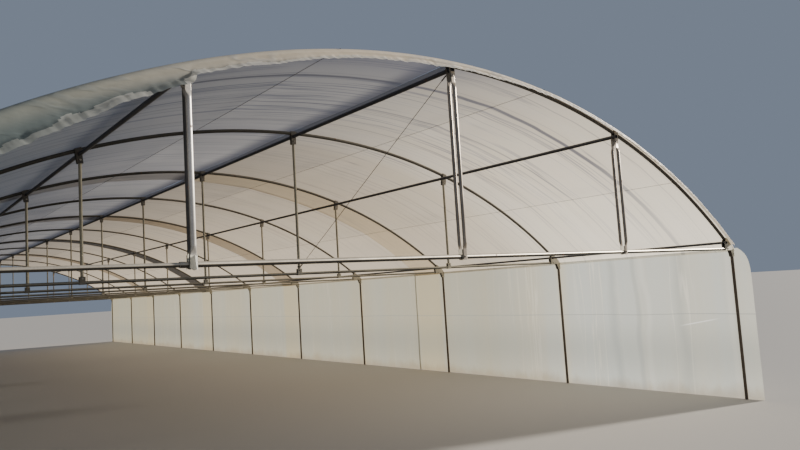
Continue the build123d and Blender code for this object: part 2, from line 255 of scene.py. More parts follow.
def zincWearAndPaintedShadeGroup():
    tree, given, out = newGroup(
        "zincWearAndPaintedShade",
        [("Zinc", "Color", (0.5, 0.5, 0.48, 1)), ("Rust", "Color", (0.18, 0.06, 0.02, 1)),
         ("Rust Amount", "Float", 0.3), ("Dullness", "Float", 0.5),
         ("Underside Shade", "Float", 0.5), ("Left Half Shade", "Float", 0.0)],
        [("Color", "Color"), ("Roughness", "Float"), ("Height", "Float"), ("Bare", "Float")])
    place = objectPlace(tree)
    crystals = addNode(tree, "ShaderNodeTexVoronoi", {"Vector": place, "Scale": weather["crystalScale"]})
    patches = noiseAt(tree, place, weather["patches"])
    specks = noiseAt(tree, place, weather["specks"])
    runs = noiseAt(tree, stretched(tree, weather["runStretch"]), weather["runs"])
    tone = calculate(tree, "MULTIPLY_ADD", ramp(tree, patches, *weather["patchReach"]), *weather["patchTone"])
    grain = ramp(tree, crystals.outputs["Distance"], *weather["crystalReach"], *weather["grain"])
    upward = partOf(tree, addNode(tree, "ShaderNodeNewGeometry").outputs["Normal"], "Z")
    # painted shade: darker underneath, and darker on the left half
    below = product(tree, ramp(tree, upward, *weather["undersideShade"]), given["Underside Shade"])
    left = product(tree, ramp(tree, partOf(tree, place, "X"), *weather["leftHalfShade"]), given["Left Half Shade"])
    light = [calculate(tree, "SUBTRACT", 1.0, dark) for dark in (below, left)]
    zinc = mixColour(tree, 1.0, given["Zinc"], product(tree, tone, grain, *light), "MULTIPLY")
    threshold = calculate(tree, "MULTIPLY_ADD", given["Rust Amount"], *weather["rustStart"])
    over = calculate(tree, "SUBTRACT", product(tree, specks, runs), threshold)
    rust = ramp(tree, over, *weather["rustRim"])
    rough = calculate(tree, "MULTIPLY_ADD", patches, weather["patchRoughness"], given["Dullness"])
    rustRough = product(tree, rust, weather["rustRoughness"])
    feed(tree, out["Color"], mixColour(tree, rust, zinc, given["Rust"]))
    feed(tree, out["Roughness"], calculate(tree, "MAXIMUM", rough, rustRough))
    feed(tree, out["Height"], calculate(tree, "MULTIPLY_ADD", specks, weather["speckHeight"], rust))
    feed(tree, out["Bare"], calculate(tree, "SUBTRACT", 1.0, rust))
    return tree


zincGroup = zincWearAndPaintedShadeGroup()


def zincMaterial(name, zinc, rust, amount, dullness, metallic, relief, undersideShade, leftHalfShade=0.0):
    material, tree = newMaterial(name)
    wear = addNode(tree, "ShaderNodeGroup",
                   {"Zinc": zinc, "Rust": rust, "Rust Amount": amount, "Dullness": dullness,
                    "Underside Shade": undersideShade, "Left Half Shade": leftHalfShade}, node_tree=zincGroup).outputs
    bumps = addNode(tree, "ShaderNodeBump",
                    {"Strength": relief, "Distance": weather["reliefDepth"], "Height": wear["Height"]})
    shader = tree.nodes["Principled BSDF"].inputs
    feed(tree, shader["Base Color"], wear["Color"])
    feed(tree, shader["Roughness"], wear["Roughness"])
    feed(tree, shader["Metallic"], product(tree, wear["Bare"], metallic))
    feed(tree, shader["Normal"], bumps.outputs["Normal"])
    return material


# metals: colour, rust's colour, rust amount, dullness, metallic share, relief, how much painted shade
# underneath, and how much painted shade on the left half
metals = {
    "endTiePipe": ((0.62, 0.56, 0.46, 1), (0.20, 0.075, 0.03, 1), 0.14, 0.24, 0.60, 0.4, 0.94),
    # the next two are a lit and a shaded copy of one pipe: painted light and painted shade
    "litStrutPipe": ((0.84, 0.80, 0.74, 1), (0.30, 0.11, 0.04, 1), 0.20, 0.22, 0.35, 0.4, 0.3),
    "shadedStrutPipe": ((0.10, 0.095, 0.09, 1), (0.14, 0.06, 0.03, 1), 0.16, 0.34, 0.55, 0.4, 0.3),
    "pairPipe": ((0.40, 0.35, 0.29, 1), (0.16, 0.07, 0.03, 1), 0.18, 0.20, 0.88, 0.4, 0.3),
    "nearHoopPipe": ((0.11, 0.095, 0.08, 1), (0.09, 0.045, 0.025, 1), 0.28, 0.36, 0.45, 0.5, 0.5),
    "hoopPipe": ((0.20, 0.185, 0.155, 1), (0.12, 0.06, 0.03, 1), 0.22, 0.34, 0.55, 0.5, 0.5, 0.62),
    "tiePipe": ((0.36, 0.34, 0.28, 1), (0.14, 0.07, 0.03, 1), 0.20, 0.28, 0.60, 0.4, 0.75, 0.15),
    "strutPipe": ((0.38, 0.35, 0.26, 1), (0.15, 0.07, 0.03, 1), 0.26, 0.30, 0.55, 0.4, 0.3),
    "purlinPipe": ((0.085, 0.085, 0.095, 1), (0.07, 0.04, 0.03, 1), 0.24, 0.36, 0.55, 0.4, 0.4),
    "postPipe": ((0.14, 0.11, 0.08, 1), (0.11, 0.045, 0.02, 1), 0.40, 0.42, 0.40, 0.5, 0.2),
    "roofPlate": ((0.24, 0.22, 0.19, 1), (0.13, 0.06, 0.03, 1), 0.24, 0.36, 0.50, 0.5, 0.5, 0.62),
    "pressedPlate": ((0.44, 0.41, 0.33, 1), (0.15, 0.07, 0.03, 1), 0.24, 0.36, 0.45, 0.5, 0.3, 0.62),
    "drawnWire": ((0.09, 0.08, 0.07, 1), (0.09, 0.04, 0.02, 1), 0.35, 0.45, 0.4, 0.3, 0.2),
    "boltZinc": ((0.42, 0.39, 0.33, 1), (0.14, 0.05, 0.02, 1), 0.45, 0.30, 0.7, 0.4, 0.3),
}
metal = {name: zincMaterial(name, *values) for name, values in metals.items()}

# creases that run across the film's length, as lines that carry painted shade on the roofs and painted
# highlights on the walls and loose film, and a soft cloudiness
creases = {
    "folds": {"Scale": 1.0, "Detail": 3.0, "Roughness": 0.55, "Distortion": 0.15},
    "where": {"Scale": 0.35, "Detail": 2.0},
    "whereReach": (0.42, 0.62),
    "cloud": {"Scale": 0.22, "Detail": 5.0, "Roughness": 0.6},
    "cloudReach": (0.3, 0.7),
    "fine": {"Scale": 4.5, "Detail": 4.0},
    "lineHeight": 0.6,
}
middleNoise = 0.5  # what a noise swings about


def filmCreaseGroup():
    tree, given, out = newGroup(
        "filmCreases",
        [("Vector", "Vector", (0, 0, 0)), ("Line Width", "Float", 0.03), ("Line Share", "Float", 0.5)],
        [("Lines", "Float"), ("Cloud", "Float"), ("Height", "Float")])
    folds, where, cloud, fine = [noiseAt(tree, given["Vector"], creases[name])
                                 for name in ("folds", "where", "cloud", "fine")]
    away = calculate(tree, "ABSOLUTE", calculate(tree, "SUBTRACT", folds, middleNoise))
    line = ramp(tree, away, 0.0, given["Line Width"], 1.0, 0.0)
    patch = calculate(tree, "SUBTRACT", calculate(tree, "ADD", where, given["Line Share"]), middleNoise)
    lines = product(tree, line, ramp(tree, patch, *creases["whereReach"]))
    feed(tree, out["Lines"], lines)
    feed(tree, out["Cloud"], ramp(tree, cloud, *creases["cloudReach"]))
    feed(tree, out["Height"], calculate(tree, "MULTIPLY_ADD", lines, creases["lineHeight"], fine))
    return tree


creaseGroup = filmCreaseGroup()

# soil splashed up from the ground
soil = {
    "splash": {"Scale": 3.0, "Detail": 8.0, "Roughness": 0.62},
    "stretch": (1, 1, 0.5),
    "lift": 1.6,
    "rim": (0.0, 0.9),
    "tone": (0.36, 0.26, 0.15, 1),
}


def soilGroup():
    tree, given, out = newGroup(
        "soil", [("Reach", "Float", 0.3), ("Strength", "Float", 0.5)], [("Mask", "Float")])
    splash = noiseAt(tree, stretched(tree, soil["stretch"]), soil["splash"])
    level = calculate(tree, "DIVIDE", partOf(tree, objectPlace(tree), "Z"), given["Reach"])
    lifted = calculate(tree, "SUBTRACT", product(tree, splash, soil["lift"]), level)
    feed(tree, out["Mask"], product(tree, ramp(tree, lifted, *soil["rim"]), given["Strength"]))
    return tree


splashedSoil = soilGroup()
bendOfMarks = {"Scale": 0.8, "Detail": 3.0}


# a sharp line or a soft band where an object coordinate has a given value
def markGroup():
    tree, given, out = newGroup(
        "filmMark",
        [("Axis", "Vector", (0, 1, 0)), ("Place", "Float", 0.0), ("Half Width", "Float", 0.01),
         ("Soft", "Float", 0.01), ("Strength", "Float", 1.0), ("Waver", "Float", 0.02)],
        [("Mask", "Float")])
    place = objectPlace(tree)
    along = addNode(tree, "ShaderNodeVectorMath", {0: place, 1: given["Axis"]}, operation="DOT_PRODUCT")
    bend = calculate(tree, "SUBTRACT", noiseAt(tree, place, bendOfMarks), middleNoise)
    here = calculate(tree, "MULTIPLY_ADD", bend, given["Waver"], along.outputs["Value"])
    away = calculate(tree, "ABSOLUTE", calculate(tree, "SUBTRACT", here, given["Place"]))
    sharp = calculate(tree, "SUBTRACT", given["Half Width"], given["Soft"])
    mask = ramp(tree, away, sharp, given["Half Width"], 1.0, 0.0)
    feed(tree, out["Mask"], product(tree, mask, given["Strength"]))
    return tree


mark = markGroup()


# how far a point lies under the roof's curve
def underFilmGroup():
    tree, _, out = newGroup("underFilm", [], [("Depth", "Float")])
    kind = "ShaderNodeVectorMath"
    fromCentre = addNode(tree, kind, {0: objectPlace(tree), 1: (0, 0, hoopCentre)}, operation="SUBTRACT")
    flat = addNode(tree, kind, {0: fromCentre.outputs["Vector"], 1: (1, 0, 1)}, operation="MULTIPLY")
    radius = addNode(tree, kind, {0: flat.outputs["Vector"]}, operation="LENGTH")
    feed(tree, out["Depth"], calculate(tree, "SUBTRACT", filmRadius, radius.outputs["Value"]))
    return tree


underFilm = underFilmGroup()

# tones of the marks
tones = {
    "crease": (0.17, 0.17, 0.21, 1),
    "tan": (0.36, 0.30, 0.24, 1),
    "shade": (0.10, 0.11, 0.16, 1),
    "nearShade": (0.20, 0.21, 0.30, 1),
    "ridgeShade": (0.04, 0.045, 0.07, 1),
    "footShade": (0.11, 0.19, 0.21, 1),
    "lapShadow": (0.12, 0.12, 0.13, 1),
    "lapHighlight": (1.0, 0.94, 0.82, 1),
    "outerLapShade": (0.62, 0.58, 0.50, 1),
    "lowGlow": (0.98, 0.96, 0.90, 1),
    "midGlow": (0.86, 0.82, 0.80, 1),
    "farRoofShade": (0.37, 0.30, 0.22, 1),
    "cream": (0.86, 0.76, 0.56, 1),
    "farWallShade": (0.40, 0.33, 0.18, 1),
    "farthestWallShade": (0.38, 0.34, 0.19, 1),
    "foldShade": (0.34, 0.37, 0.38, 1),
    "sharpFoldShade": (0.34, 0.36, 0.37, 1),
    "foldHighlight": (0.93, 0.94, 0.92, 1),
    "edgeLight": (0.93, 0.92, 0.88, 1),
    "seam": (0.45, 0.42, 0.36, 1),
    "levelFoldShade": (0.36, 0.38, 0.40, 1),
    "lowWall": (0.32, 0.34, 0.33, 1),
    "hangingShade": (0.135, 0.175, 0.175, 1),
    "rimShade": (0.26, 0.31, 0.30, 1),
    "white": (1, 1, 1, 1),
}
onX, onY, onZ = (1, 0, 0), (0, 1, 0), (0, 0, 1)
# where the roof's strips lap, half the length of a lap, and half the width of its mark
laps = {"first": -8.525, "step": 6.0, "count": 4, "half": 0.425, "markHalf": 0.44, "onWall": 0.035}
lapPlaces = [laps["first"] + laps["step"] * i for i in range(laps["count"])]
firstLap, secondLap, thirdLap, fourthLap = lapPlaces
lapHalf = laps["markHalf"]

# marks: axis, place on it, half width, soft rim, strength, waver, tone
# painted shade along the creases and where the strips lap, and a painted shadow over the third lap
roofMarks = [
    (onY, -14.28, 0.042, 0.025, 0.90, 0.10, "crease"),
    (onY, -14.75, 0.016, 0.016, 0.45, 0.12, "crease"),
    (onY, -13.36, 0.022, 0.018, 0.50, 0.12, "crease"),
    (onY, -12.55, 0.024, 0.020, 0.50, 0.10, "crease"),
    (onY, -11.70, 0.020, 0.018, 0.42, 0.25, "crease"),
    (onY, -10.30, 0.020, 0.018, 0.40, 0.20, "crease"),
    (onY, firstLap, lapHalf, 0.08, 0.04, 0.05, "tan"),
    (onY, secondLap, lapHalf, 0.05, 0.10, 0.05, "tan"),
    (onY, thirdLap, lapHalf, 0.05, 0.66, 0.05, "crease"),
    (onY, fourthLap, lapHalf, 0.05, 0.15, 0.05, "tan"),
]
# the outer face of every film, with painted shade along its creases and where strips lap; the other looks are
# those of the inner faces
outside = {
    "milk": (0.82, 0.81, 0.77, 1), "tint": (0.75, 0.73, 0.67, 1),
    "lineTone": (0.55, 0.54, 0.54, 1), "lineStrength": 0.5,
    "marks": [(onY, y, lapHalf, 0.06, 0.10, 0.05, "outerLapShade") for y in lapPlaces],
}
plainFilm = {
    "turn": (0, 0, 0), "roughness": 0.38, "relief": 0.5, "reliefDepth": 0.006, "marks": [], "outer": {},
    "deepShadeReach": (0.045, 0.15),  # metres under the roof's curve where the painted shade of hanging film starts and is full
    "nearReach": (1.0, -1.0),  # metres along the tunnel, so that only the near end is shaded
}
films = {
    # the two roof slopes' inner faces are a lit and a shaded copy of one film: painted light on the right,
    # painted shade on the left
    "rightRoofFilm": {
        "stretch": (0.12, 5.5, 0.12), "clear": 0.10, "through": 0.70,
        "milk": (0.90, 0.85, 0.77, 1), "tint": (0.84, 0.77, 0.66, 1), "glow": (1.0, 0.97, 0.90, 1),
        "lineWidth": 0.026, "lineShare": 0.58, "lineTone": (0.36, 0.35, 0.39, 1), "lineStrength": 0.75,
        "marks": roofMarks + [
            # painted shade towards the ridge, the near apron's painted shadow and painted light near the eave
            (onX, 0.0, 2.9, 2.9, 0.34, 0.1, "crease"),
            ((0.35, 1, 0), -15.3, 1.15, 1.05, 0.75, 0.2, "nearShade"),
            (onX, 5.1, 2.4, 2.2, 0.55, 0.2, "lowGlow"),
            # painted shade towards the far end, a painted shadow over the third lap, painted light on the
            # first lap and painted shade beside the ridge purlin
            (onY, 10.0, 23.4, 3.6, 0.62, 0.5, "farRoofShade"),
            (onY, thirdLap, lapHalf, 0.10, 0.84, 0.05, "lapShadow"),
            (onY, firstLap, lapHalf, 0.10, 0.35, 0.05, "lapHighlight"),
            (onX, 0.03, 0.16, 0.10, 0.97, 0.02, "ridgeShade"),
        ],
    },
    "leftRoofFilm": {
        "stretch": (0.12, 5.5, 0.12), "clear": 0.08, "through": 0.62,
        # a darker, bluer copy of the right slope's look: painted shade over the whole left slope
        "milk": (0.60, 0.58, 0.57, 1), "tint": (0.53, 0.515, 0.51, 1), "glow": (0.76, 0.76, 0.77, 1),
        "lineWidth": 0.032, "lineShare": 0.62, "lineTone": (0.24, 0.25, 0.30, 1), "lineStrength": 0.8,
        "marks": roofMarks + [
            # painted light in the middle, painted shade beside the purlins and towards the eave, and the near
            # apron's painted shadow
            (onY, -9.3, 3.4, 2.6, 0.32, 0.3, "midGlow"),
            (onX, 0.0, 0.30, 0.30, 0.85, 0.05, "shade"),
            (onX, -quarter, 0.26, 0.26, 0.65, 0.06, "shade"),
            (onX, -5.6, 3.6, 3.6, 0.85, 0.2, "footShade"),
            (onY, -15.0, 0.75, 0.70, 0.62, 0.1, "nearShade"),
        ],
    },
    "wallFilm": {
        "stretch": (0.5, 4.0, 0.20), "turn": (0.16, 0, 0), "clear": 0.05, "through": 0.60,
        "milk": (0.70, 0.74, 0.74, 1), "tint": (0.75, 0.72, 0.63, 1), "glow": (0.71, 0.73, 0.72, 1),
        "lineWidth": 0.024, "lineShare": 0.50, "lineTone": (0.96, 0.93, 0.85, 1), "lineStrength": 0.6,
        "soil": (0.26, 0.45), "relief": 0.55,  # how high soil reaches and how strong it is
        "marks": [(onY, y + laps["onWall"], lapHalf, 0.12, 0.75, 0.06, "cream") for y in lapPlaces] + [
            (onY, y, 0.16, 0.16, 0.5, 0.1, "cream") for y in framePlaces[1:8:2]] + [
            # painted shade towards the far end
            (onY, 10.0, 22.6, 2.6, 0.46, 0.5, "farWallShade"),
            (onY, 15.0, 12.0, 9.0, 0.26, 0.5, "farthestWallShade"),
            # painted shade and painted highlights of broad folds
            (onY, -13.0, 0.12, 0.12, 0.30, 0.3, "foldShade"),
            (onY, -13.43, 0.07, 0.06, 0.30, 0.2, "sharpFoldShade"),
            (onY, -13.60, 0.09, 0.09, 0.35, 0.4, "foldHighlight"),
            (onY, -14.19, 0.15, 0.15, 0.28, 0.3, "foldShade"),
            (onY, -14.90, 0.06, 0.05, 0.30, 0.1, "edgeLight"),
            (onY, -8.05, 0.012, 0.012, 0.6, 0.02, "seam"),
            # painted shade along the level fold
            (onZ, 1.15, 0.009, 0.006, 0.6, 0.04, "levelFoldShade"),
            (onZ, 0.60, 0.60, 0.60, 0.36, 0.1, "lowWall"),
        ],
        # a white line that slopes a little, kept to a short length by a second mark
        "glint": ((0, 0.174, 0.985), -1.4907, 0.013, 0.010, 1.0, 0.0),
        "glintWithin": (onY, -14.43, 0.34, 0.22, 1.0, 0.0),
    },
    "looseFilm": {
        "stretch": (1.2, 5.0, 5.0), "clear": 0.02, "through": 0.28,
        "milk": (0.97, 0.90, 0.79, 1), "tint": (0.88, 0.80, 0.69, 1), "glow": (1.0, 0.95, 0.85, 1),
        "lineWidth": 0.05, "lineShare": 0.62, "lineTone": (0.84, 0.82, 0.76, 1), "lineStrength": 0.4,
        "outer": {"milk": (0.79, 0.71, 0.585, 1), "tint": (0.72, 0.625, 0.49, 1)},
        # painted shade on the part that hangs under the roof's curve
        "deep": (0.27, 0.27, 0.26, 1),
        "near": (onX, -4.2, 3.4, 3.4, 0.92, 0.3, "hangingShade"),
    },
    # the torn rim's film, a lighter copy of the loose film: painted light on the turned-out lip; the strut's
    # scrap takes it too
    "lipFilm": {
        "stretch": (1.2, 5.0, 5.0), "clear": 0.02, "through": 0.45,
        "milk": (0.93, 0.92, 0.86, 1), "tint": (0.82, 0.81, 0.74, 1), "glow": (0.95, 0.93, 0.87, 1),
        "lineWidth": 0.05, "lineShare": 0.55, "lineTone": (0.96, 0.95, 0.92, 1), "lineStrength": 0.4,
        "near": (onX, -4.2, 2.6, 2.6, 0.75, 0.3, "rimShade"),
    },
}


def markMask(tree, values):
    return addNode(tree, "ShaderNodeGroup", dict(enumerate(values)), node_tree=mark).outputs["Mask"]


def faceColour(tree, folds, look):
    lines = product(tree, folds["Lines"], look["lineStrength"])
    colour = mixColour(tree, folds["Cloud"], look["milk"], look["tint"])
    # crease lines: painted shade where the line tone is dark, painted highlight where it is light
    colour = mixColour(tree, lines, colour, look["lineTone"])
    for *values, tone in look["marks"]:
        colour = mixColour(tree, markMask(tree, values), colour, tones[tone])
    if "glint" in look:
        glint = product(tree, markMask(tree, look["glint"]), markMask(tree, look["glintWithin"]))
        colour = mixColour(tree, glint, colour, tones["white"])
    return colour


def filmMaterial(name, look):
    material, tree = newMaterial(name)
    folds = addNode(tree, "ShaderNodeGroup",
                    {"Vector": stretched(tree, look["stretch"], look["turn"]),
                     "Line Width": look["lineWidth"], "Line Share": look["lineShare"]},
                    node_tree=creaseGroup).outputs
    # the inner faces take the look that carries most of the painted light and shade, the outer faces a
    # plainer one
    outer = faceColour(tree, folds, {**outside, **look["outer"]})
    inner = faceColour(tree, folds, look)
    face = addNode(tree, "ShaderNodeNewGeometry")
    colour = mixColour(tree, face.outputs["Backfacing"], outer, inner)
    # painted shade, darker the further the film hangs under the roof's curve
    if "deep" in look:
        depth = addNode(tree, "ShaderNodeGroup", node_tree=underFilm).outputs["Depth"]
        colour = mixColour(tree, ramp(tree, depth, *look["deepShadeReach"]), colour, look["deep"])
    if "near" in look:
        *values, tone = look["near"]
        atNearEnd = ramp(tree, partOf(tree, objectPlace(tree), "Y"), *look["nearReach"])
        colour = mixColour(tree, product(tree, markMask(tree, values), atNearEnd), colour, tones[tone])
    if "soil" in look:
        reach, strength = look["soil"]
        splashed = addNode(tree, "ShaderNodeGroup", {"Reach": reach, "Strength": strength},
                           node_tree=splashedSoil)
        colour = mixColour(tree, splashed.outputs["Mask"], colour, soil["tone"])
    bumps = addNode(tree, "ShaderNodeBump",
                    {"Strength": look["relief"], "Distance": look["reliefDepth"], "Height": folds["Height"]})
    normal = bumps.outputs["Normal"]
    shader = tree.nodes["Principled BSDF"]
    feed(tree, shader.inputs["Base Color"], colour)
    feed(tree, shader.inputs["Roughness"], look["roughness"])
    feed(tree, shader.inputs["Normal"], normal)
    through = mixColour(tree, 1.0, colour, look["glow"], "MULTIPLY")
    glow = addNode(tree, "ShaderNodeBsdfTranslucent", {"Color": through, "Normal": normal})
    milky = addNode(tree, "ShaderNodeMixShader",
                    {"Fac": look["through"], 1: shader.outputs["BSDF"], 2: glow.outputs["BSDF"]})
    clear = addNode(tree, "ShaderNodeBsdfTransparent")
    seen = addNode(tree, "ShaderNodeMixShader",
                   {"Fac": look["clear"], 1: milky.outputs["Shader"], 2: clear.outputs["BSDF"]})
    feed(tree, tree.nodes["Material Output"].inputs["Surface"], seen.outputs["Shader"])
    return material


film = {name: filmMaterial(name, {**plainFilm, **look}) for name, look in films.items()}
print("materials are made")


# mesh tools
def addRings(mesh, stations, sides=20):
    # a station is a centre, two half axes across the run, and its squareness (1 is round, less is squarer)
    verts, faces = mesh
    first = len(verts)
    for centre, across, upward, squareness in stations:
        for i in range(sides):
            c, s = cos(2 * pi * i / sides), sin(2 * pi * i / sides)
            c, s = [(abs(value) ** squareness) * (1 if value > 0 else -1) for value in (c, s)]
            verts.append(centre + across * c + upward * s)
    for ring in range(len(stations) - 1):
        for i in range(sides):
            a = first + ring * sides + i
            b = first + ring * sides + (i + 1) % sides
            faces.append((a, b, b + sides, a + sides))
    last = first + (len(stations) - 1) * sides
    faces.append(tuple(range(first + sides - 1, first - 1, -1)))
    faces.append(tuple(range(last, last + sides)))


def addPipe(mesh, start, end, profile, sides=20):
    # profile lists (distance along the run, radius)
    start, end = Vector(start), Vector(end)
    ahead = (end - start).normalized()
    across = Vector((0, 0, 1)).cross(ahead)
    across = across.normalized() if across.length > 0.01 else Vector((1, 0, 0))
    upward = ahead.cross(across)
    stations = [(start + ahead * along, across * radius, upward * radius, 1) for along, radius in profile]
    addRings(mesh, stations, sides)


def openPipe(length, radius, rings=()):
    # the profile of a pipe with a bore at both ends, and rings between them
    bore, deep = radius - tunnel["pipeWall"], tunnel["boreShown"]
    return [(deep, bore), (0, bore), (0, radius), *rings,
            (length, radius), (length, bore), (length - deep, bore)]


def addPath(mesh, points, radius, sides=8):
    points = [Vector(p) for p in points]
    side = None
    stations = []
    for i, point in enumerate(points):
        ahead = (points[min(i + 1, len(points) - 1)] - points[max(i - 1, 0)]).normalized()
        side = ahead.orthogonal() if side is None else side - ahead * side.dot(ahead)
        side.normalize()
        stations.append((point, side * radius, ahead.cross(side) * radius, 1))
    addRings(mesh, stations, sides)


def newPiece(name, mesh, material, replaces=(), smoothTo=40):
    data = bpy.data.meshes.new(name)
    data.from_pydata(mesh[0], [], mesh[1])
    data.shade_smooth()
    data.set_sharp_from_angle(angle=radians(smoothTo))
    data.materials.append(material)
    piece = bpy.data.objects.new(name, data)
    bpy.context.scene.collection.objects.link(piece)
    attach(piece, "root")
    if replaces:
        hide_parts(*replaces)
    return piece


# hoops: bent pipe from eave to eave
hoop = {"runs": 96, "sides": 20}


def addHoop(mesh, y):
    stations = []
    for i in range(hoop["runs"] + 1):
        angle = footAngle * (2 * i / hoop["runs"] - 1)
        radial = Vector((sin(angle), 0, cos(angle)))
        stations.append((onArc(hoopRadius, angle, y), Vector((0, mainPipe, 0)), radial * mainPipe, 1))
    addRings(mesh, stations, hoop["sides"])


# ties: the end ones are two pipes, the thinner slipped into the thicker, whose mouth is flared
tie = {"end": 5.034, "jointPastStrut": 0.09, "slippedIn": 0.03, "flare": 0.0012, "flareLength": 0.05,
       "flareRise": 0.008, "slack": 0.0004, "bore": 0.04, "bush": 0.07, "bushRim": 0.004, "bushTaper": 0.003}


def addEndTie(mesh, y):
    end, bush = tie["end"], tie["bush"]
    joint = -quarter - tie["jointPastStrut"]
    slipped = joint + tie["slippedIn"]
    length = end - joint
    mouth = length - tie["flareLength"]
    flared, inner = mainPipe + tie["flare"], lightPipe + tie["slack"]
    addPipe(mesh, (end, y, eave), (joint, y, eave),
            [(0, mainPipe), (mouth, mainPipe), (mouth + tie["flareRise"], flared), (length, flared),
             (length, inner), (length - tie["bore"], inner)])
    addPipe(mesh, (slipped, y, eave), (-end, y, eave), [(0, lightPipe), (end + slipped, lightPipe)])
    addPipe(mesh, (bush - end, y, eave), (-end, y, eave), [(0, mainPipe), (bush, mainPipe)])


def addInnerTie(mesh, y):
    end, bush = tie["end"], tie["bush"]
    addPipe(mesh, (-end, y, eave), (end, y, eave), [(0, lightPipe), (2 * end, lightPipe)])
    for side in (-1, 1):
        addPipe(mesh, (side * end, y, eave), (side * (end - bush), y, eave),
                [(0, mainPipe), (bush - tie["bushRim"], mainPipe), (bush, mainPipe - tie["bushTaper"])])


for name, add, places, node, finish in (
        ("nearHoop", addHoop, [nearEnd], "near_arch", "nearHoopPipe"),
        ("farHoop", addHoop, [farEnd], "far_arch", "nearHoopPipe"),
        ("innerHoops", addHoop, innerPlaces, "inner_arches", "hoopPipe"),
        ("nearTie", addEndTie, [nearEnd], "near_chord", "endTiePipe"),
        ("farTie", addEndTie, [farEnd], "far_chord", "endTiePipe"),
        ("innerTies", addInnerTie, innerPlaces, "inner_chords", "tiePipe")):
    mesh = ([], [])
    for y in places:
        add(mesh, y)
    newPiece(name, mesh, metal[finish], [node])

# posts
post = {"underHoop": 0.0012, "sides": 24}
postTop = eave - mainPipe * cos(footAngle) - post["underHoop"]
for name, side, node in (("leftPosts", -1, "left_posts"), ("rightPosts", 1, "right_posts")):
    mesh = ([], [])
    for y in framePlaces:
        addPipe(mesh, (side * halfSpan, y, 0), (side * halfSpan, y, postTop),
                [(0, mainPipe), (postTop, mainPipe)], post["sides"])
    newPiece(name, mesh, metal["postPipe"], [node])

# struts of the end frames: pairs of pipes with pressed flat ends
pair = {"pipe": 0.018, "reach": 0.036, "flatHalf": 0.022, "flatThick": 0.003, "flatLength": 0.10,
        "taper": 0.06, "belowTie": 0.03, "steps": 7, "squared": 0.72, "sides": 28}


def addPairedStrut(mesh, side, y, facing):
    bottom = eave - pair["belowTie"]
    top = purlinHeight(side) - mainPipe - 2 * gap
    flatY = y + facing * (cheekFace + gap + pair["flatThick"])
    pipeY = y + facing * pair["reach"]

    def station(height, share):
        # share is 0 where the pipe is round and 1 where it is flat
        ease = share * share * (3 - 2 * share)
        wide = pair["pipe"] + (pair["flatHalf"] - pair["pipe"]) * ease
        thick = pair["pipe"] + (pair["flatThick"] - pair["pipe"]) * ease
        middle = Vector((side * quarter, pipeY + (flatY - pipeY) * ease, height))
        return middle, Vector((wide, 0, 0)), Vector((0, thick, 0)), 1 - pair["squared"] * ease

    shares = [i / pair["steps"] for i in range(pair["steps"] + 1)]
    flat, taper = pair["flatLength"], pair["taper"]
    stations = [station(bottom, 1)]
    stations += [station(bottom + flat + taper * share, 1 - share) for share in shares]
    stations += [station(top - flat - taper * (1 - share), share) for share in shares]
    stations.append(station(top, 1))
    addRings(mesh, stations, pair["sides"])


for end, y in (("near", nearEnd), ("far", farEnd)):
    for label, side, node in (("King", 0, "king_post"), ("LeftQuarter", -1, "left_quarter_post"),
                              ("RightQuarter", 1, "right_quarter_post")):
        for facing in (-1, 1):
            mesh = ([], [])
            addPairedStrut(mesh, side, y, facing)
            inner = facing * y < 0
            # on the left quarter the inner pipe takes the shaded copy and the outer one the lit copy: painted
            # shade and painted light
            finish = ("shadedStrutPipe" if inner else "litStrutPipe") if side < 0 else "pairPipe"
            newPiece(f"{end}{label}Strut{'Inner' if inner else 'Outer'}", mesh, metal[finish],
                     [f"{end}_{node}"])

# struts of the inner frames
for name, side, node in (("innerKingStruts", 0, "king_posts"), ("innerLeftStruts", -1, "left_quarter_posts"),
                         ("innerRightStruts", 1, "right_quarter_posts")):
    low = eave + lightPipe + gap
    high = purlinHeight(side) - mainPipe - gap
    mesh = ([], [])
    for y in innerPlaces:
        addPipe(mesh, (side * quarter, y, low), (side * quarter, y, high), openPipe(high - low, lightPipe))
    newPiece(name, mesh, metal["strutPipe"], [node])

# purlins and eave rails: stock lengths, each slipped into a belled end of the next
runs = {"stock": 6.0, "firstBell": 6.15, "lastClear": 1.0, "bell": 0.0016, "bellRise": 0.012,
        "bellLength": 0.11, "bellRim": 0.0005, "pastCheek": 0.01, "sides": 24}


def addLongPipe(mesh, x, z, radius):
    start = -halfLength - cheekFace - runs["pastCheek"]
    length = -2 * start
    belled, bellLength = radius + runs["bell"], runs["bellLength"]
    rings = []
    along = runs["firstBell"]
    while along < length - runs["lastClear"]:
        rings += [(along, radius), (along + runs["bellRise"], belled), (along + bellLength, belled),
                  (along + bellLength + runs["bellRim"], radius)]
        along += runs["stock"]
    addPipe(mesh, (x, start, z), (x, -start, z), openPipe(length, radius, rings), runs["sides"])


for name, side, node in (("ridgePurlin", 0, "ridge_purlin"), ("leftQuarterPurlin", -1, "left_quarter_purlin"),
                         ("rightQuarterPurlin", 1, "right_quarter_purlin")):
    mesh = ([], [])
    addLongPipe(mesh, side * quarter, purlinHeight(side), mainPipe)
    newPiece(name, mesh, metal["purlinPipe"], [node])

for name, node in (("leftEaveRail", "left_eave_rail"), ("rightEaveRail", "right_eave_rail")):
    low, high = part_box(node)
    mesh = ([], [])
    addLongPipe(mesh, (low.x + high.x) / 2, (low.z + high.z) / 2, lightPipe)
    newPiece(name, mesh, metal["purlinPipe"], [node])
print("pipes are made")

